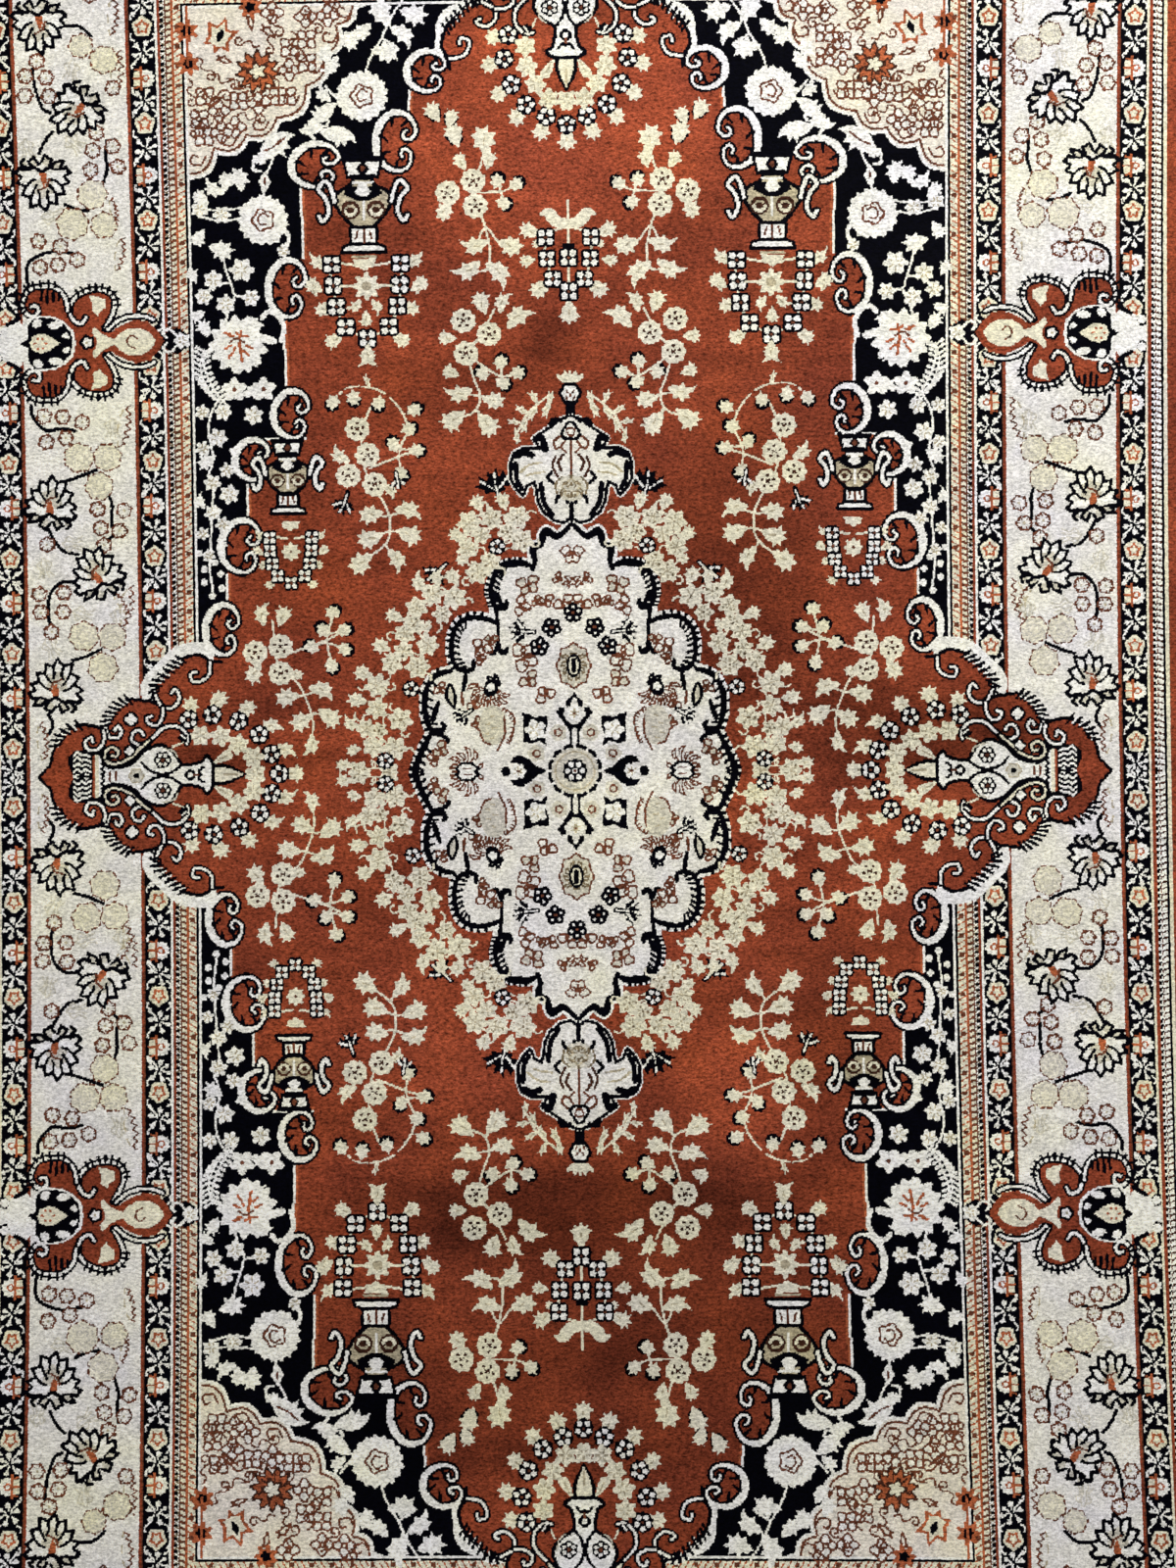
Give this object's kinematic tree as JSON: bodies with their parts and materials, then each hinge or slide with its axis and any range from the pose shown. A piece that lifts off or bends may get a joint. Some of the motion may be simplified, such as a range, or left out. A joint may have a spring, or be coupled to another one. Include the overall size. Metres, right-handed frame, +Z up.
{
  "type": "silk pile rug",
  "caption": "Flat rectangular hand-knotted silk pile rug with a medallion field, floral borders, overcast long sides and flat-woven ends.",
  "frame": {"origin": "on the floor under the middle of the rug", "axes": "+X across the rug, +Y along it, +Z up out of the pile"},
  "size_m": [1.3124, 2.1364, 0.0074],
  "materials": {
    "silk_pile": "satin cut pile in rust, ivory, black, gold and brown silk"
  },
  "bodies": {
    "root": {"rug": "silk_pile"}
  },
  "joints": []
}
